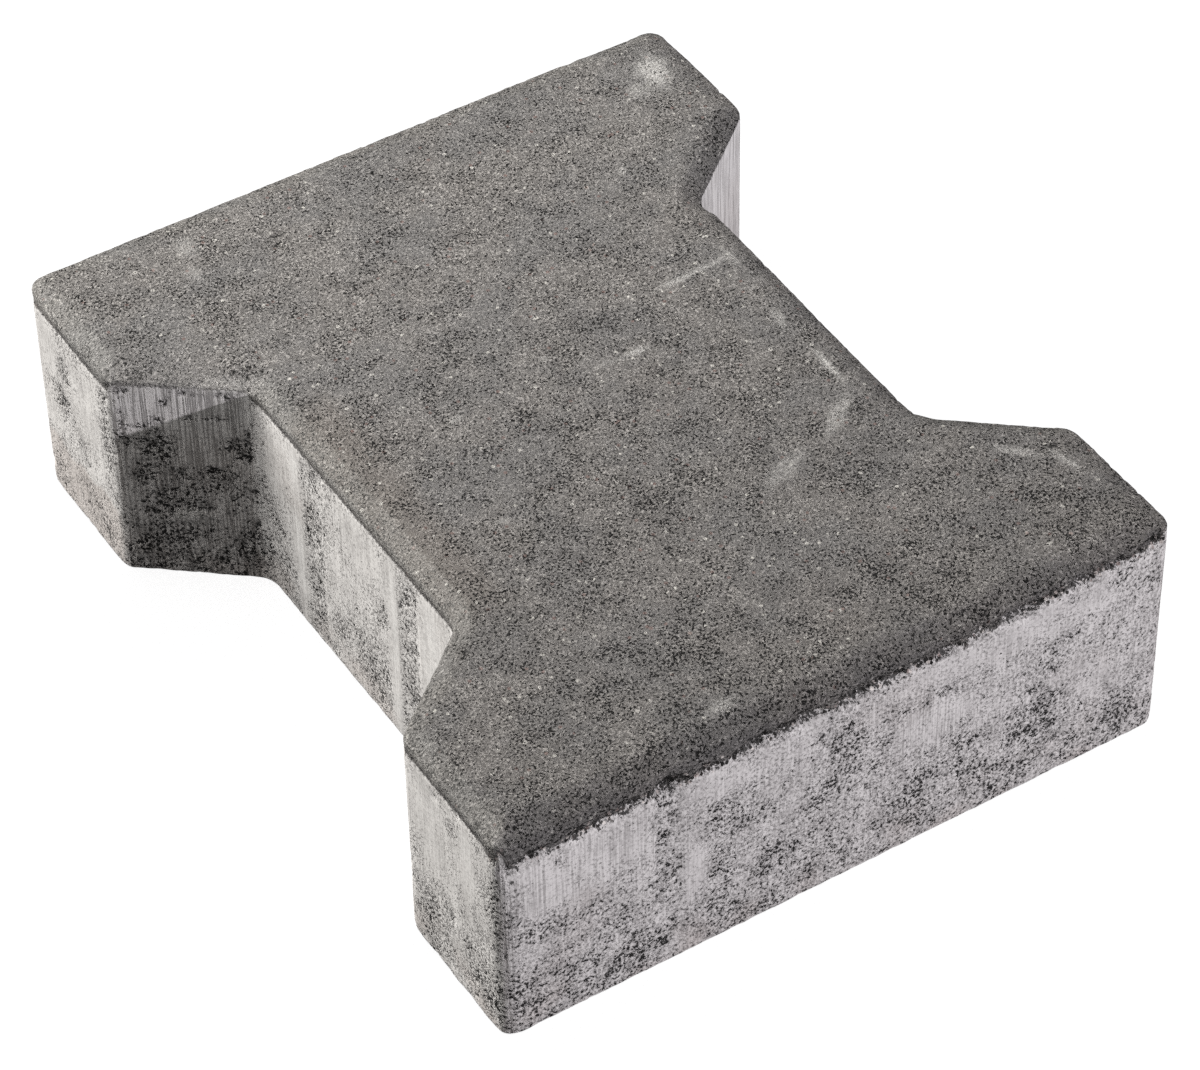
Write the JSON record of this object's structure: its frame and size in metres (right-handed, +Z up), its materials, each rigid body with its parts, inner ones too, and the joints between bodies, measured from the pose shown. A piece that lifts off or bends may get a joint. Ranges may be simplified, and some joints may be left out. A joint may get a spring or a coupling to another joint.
{
  "type": "concrete paving stone",
  "caption": "Grey concrete paving stone with a double-T plan, two flared side notches that interlock with its neighbours, and a bevelled top edge.",
  "frame": {"origin": "centre of the underside, where the stone lies on its bed", "axes": "+Z up, normal to the walking surface; Y along the stone from head to head; X across the heads, through the two side notches"},
  "size_m": [0.165, 0.2, 0.06],
  "materials": {
    "concrete": "rough pressed concrete: fine dark grey grain on top, paler cement skin with pores on the sides"
  },
  "bodies": {
    "root": {"paving_stone": "concrete"}
  },
  "joints": []
}
